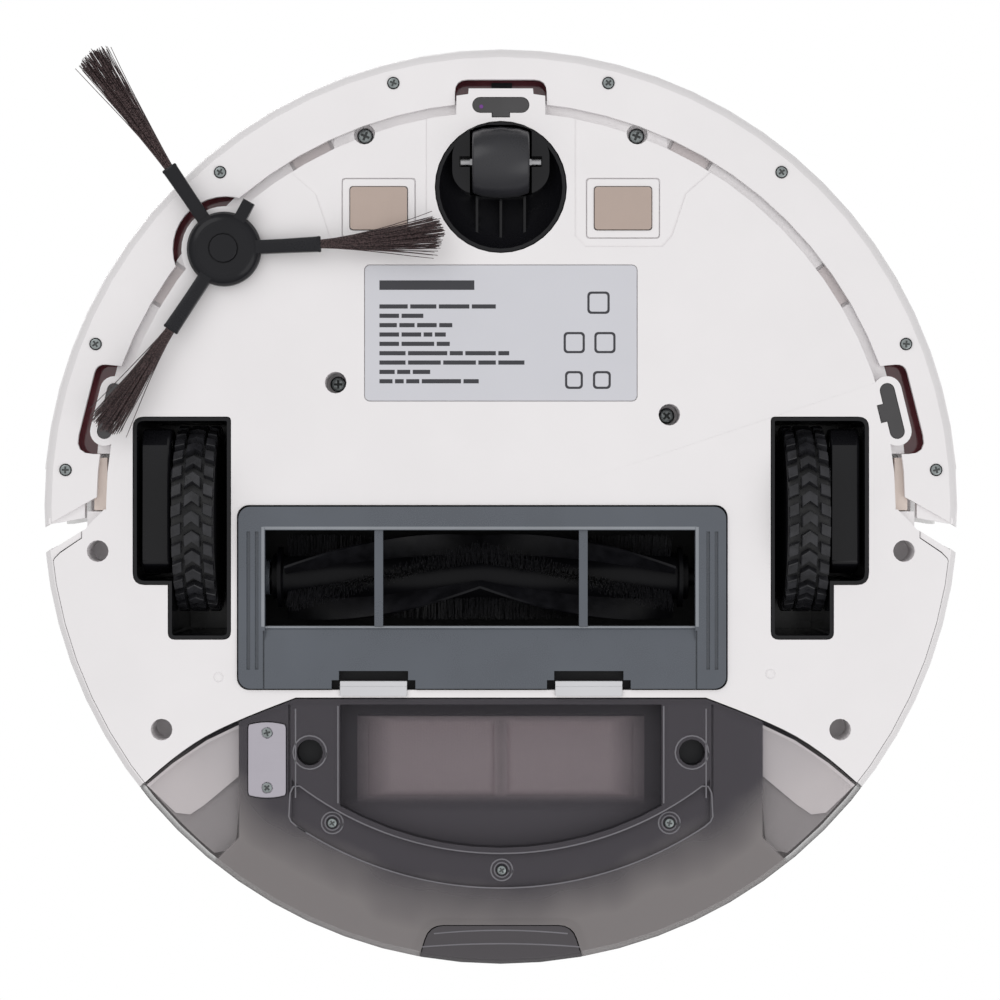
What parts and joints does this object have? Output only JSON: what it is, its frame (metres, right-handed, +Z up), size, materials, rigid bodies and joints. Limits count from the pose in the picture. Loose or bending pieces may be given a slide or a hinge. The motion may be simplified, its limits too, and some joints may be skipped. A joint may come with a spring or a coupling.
{
  "type": "robot vacuum",
  "caption": "Round floor-cleaning robot with a sprung bumper, swivelling caster, sprung drive wheels, side brush, roller brush under a hinged guard, and a tank that slides out at the rear.",
  "frame": {"origin": "on the floor, under the centre of the round body", "axes": "+Z up, -Y towards the bumper (front), +Y towards the tank (rear), +X to the robot's left as it drives forward"},
  "size_m": [0.3388, 0.34, 0.096],
  "materials": {
    "white_housing": "satin",
    "gloss_top": "gloss",
    "light_grey": "satin",
    "contact_metal": "satin",
    "black_plastic": "satin",
    "tank_lid_plastic": "satin",
    "tyre_rubber": "matte",
    "caster_plastic": "satin",
    "slate_plastic": "satin",
    "smoke_plastic": "gloss",
    "ir_plastic": "gloss",
    "sensor_plastic": "gloss",
    "beige_foam": "matte",
    "steel": "satin",
    "motor_steel": "satin",
    "filter_paper": "matte",
    "circuit_board": "satin",
    "battery_wrap": "satin",
    "brush_bristle": "matte",
    "side_bristle": "matte"
  },
  "bodies": {
    "body": {"chassis_bottom": "white_housing", "upper_housing": "white_housing", "top_cover": "gloss_top", "turret_base": "gloss_top", "turret_cap": "gloss_top", "rating_plate": "light_grey", "charge_contact_left": "contact_metal", "charge_contact_right": "contact_metal", "cliff_window_front": "sensor_plastic", "cliff_window_left": "sensor_plastic", "cliff_window_right": "sensor_plastic", "wheel_well_left": "black_plastic", "wheel_well_right": "black_plastic", "bumper_pad_left": "beige_foam", "bumper_pad_right": "beige_foam", "battery_pack": "battery_wrap", "main_board": "circuit_board", "fan_housing": "black_plastic", "side_brush_motor": "motor_steel", "brush_motor": "motor_steel", "brush_chamber": "black_plastic", "brush_bearing": "slate_plastic"},
    "bumper": {"bumper_shell": "white_housing", "bumper_skirt": "white_housing", "bumper_ir_window": "ir_plastic"},
    "caster": {"caster_swivel": "black_plastic", "caster_axle": "steel"},
    "caster_roller": {"caster_wheel": "caster_plastic"},
    "side_brush": {"side_brush_hub": "black_plastic", "side_brush_cap": "black_plastic", "side_brush_tuft_1": "side_bristle", "side_brush_tuft_2": "side_bristle", "side_brush_tuft_3": "side_bristle"},
    "arm_left": {"wheel_arm_left": "black_plastic", "arm_pin_left": "steel", "drive_motor_left": "motor_steel"},
    "arm_right": {"wheel_arm_right": "black_plastic", "arm_pin_right": "steel", "drive_motor_right": "motor_steel"},
    "wheel_left": {"wheel_hub_left": "black_plastic", "tyre_left": "tyre_rubber"},
    "wheel_right": {"wheel_hub_right": "black_plastic", "tyre_right": "tyre_rubber"},
    "roller_brush": {"main_brush": "brush_bristle"},
    "guard": {"brush_guard": "slate_plastic"},
    "latch_left": {"guard_latch_left": "light_grey"},
    "latch_right": {"guard_latch_right": "light_grey"},
    "tank": {"tank_shell": "smoke_plastic", "tank_lid": "tank_lid_plastic", "dust_filter": "filter_paper", "tank_contact_plate": "steel"},
    "tank_release": {"tank_button": "smoke_plastic"},
    "lidar": {"lidar_rotor": "black_plastic"},
    "power": {"power_button": "light_grey"},
    "home": {"home_button": "light_grey"},
    "fan": {"fan_impeller": "light_grey"}
  },
  "joints": [
    {"name": "bumper_push", "type": "slide", "parent": "body", "child": "bumper", "axis": [0, 1, 0], "range_m": [0, 0.003], "stiffness_N_per_m": 300, "springref_m": -0.002},
    {"name": "caster_turn", "type": "hinge", "parent": "body", "child": "caster", "pos_m": [0, -0.1145, 0.02], "axis": [0, 0, 1], "continuous": true},
    {"name": "caster_roll", "type": "hinge", "parent": "caster", "child": "caster_roller", "pos_m": [0, -0.1235, 0.0128], "axis": [1, 0, 0], "continuous": true},
    {"name": "side_brush_spin", "type": "hinge", "parent": "body", "child": "side_brush", "pos_m": [-0.0989, -0.092, 0.01], "axis": [0, 0, 1], "continuous": true, "deforming": ["side_brush_tuft_1", "side_brush_tuft_2", "side_brush_tuft_3"]},
    {"name": "wheel_drop_left", "type": "hinge", "parent": "body", "child": "arm_left", "pos_m": [-0.124, -0.0225, 0.0225], "axis": [-1, 0, 0], "range_deg": [0, 40], "stiffness_Nm_per_rad": 0.07, "springref_deg": 57.3},
    {"name": "wheel_spin_left", "type": "hinge", "parent": "arm_left", "child": "wheel_left", "pos_m": [-0.1098, 0.0045, 0.034], "axis": [1, 0, 0], "continuous": true},
    {"name": "wheel_drop_right", "type": "hinge", "parent": "body", "child": "arm_right", "pos_m": [0.124, -0.0225, 0.0225], "axis": [-1, 0, 0], "range_deg": [0, 40], "stiffness_Nm_per_rad": 0.07, "springref_deg": 57.3},
    {"name": "wheel_spin_right", "type": "hinge", "parent": "arm_right", "child": "wheel_right", "pos_m": [0.1098, 0.0045, 0.034], "axis": [1, 0, 0], "continuous": true},
    {"name": "roller_spin", "type": "hinge", "parent": "body", "child": "roller_brush", "pos_m": [0, 0.0258, 0.03], "axis": [1, 0, 0], "continuous": true},
    {"name": "guard_open", "type": "hinge", "parent": "body", "child": "guard", "pos_m": [0, 0.0009, 0.0106], "axis": [-1, 0, 0], "range_deg": [0, 85]},
    {"name": "latch_press_left", "type": "slide", "parent": "guard", "child": "latch_left", "axis": [0, -1, 0], "range_m": [0, 0.0025], "stiffness_N_per_m": 200, "springref_m": -0.002},
    {"name": "latch_press_right", "type": "slide", "parent": "guard", "child": "latch_right", "axis": [0, -1, 0], "range_m": [0, 0.0025], "stiffness_N_per_m": 200, "springref_m": -0.002},
    {"name": "tank_slide", "type": "slide", "parent": "body", "child": "tank", "axis": [0, 1, 0], "range_m": [0, 0.11]},
    {"name": "tank_release_press", "type": "slide", "parent": "tank", "child": "tank_release", "axis": [0, 0, 1], "range_m": [0, 0.002], "stiffness_N_per_m": 400, "springref_m": -0.002},
    {"name": "lidar_spin", "type": "hinge", "parent": "body", "child": "lidar", "pos_m": [0, 0.02, 0.088], "axis": [0, 0, 1], "continuous": true},
    {"name": "power_press", "type": "slide", "parent": "body", "child": "power", "axis": [0, 0, -1], "range_m": [0, 0.0006], "stiffness_N_per_m": 400, "springref_m": -0.001},
    {"name": "home_press", "type": "slide", "parent": "body", "child": "home", "axis": [0, 0, -1], "range_m": [0, 0.0006], "stiffness_N_per_m": 400, "springref_m": -0.001},
    {"name": "fan_spin", "type": "hinge", "parent": "body", "child": "fan", "pos_m": [-0.005, 0.03, 0.06], "axis": [0, 0, 1], "continuous": true}
  ]
}
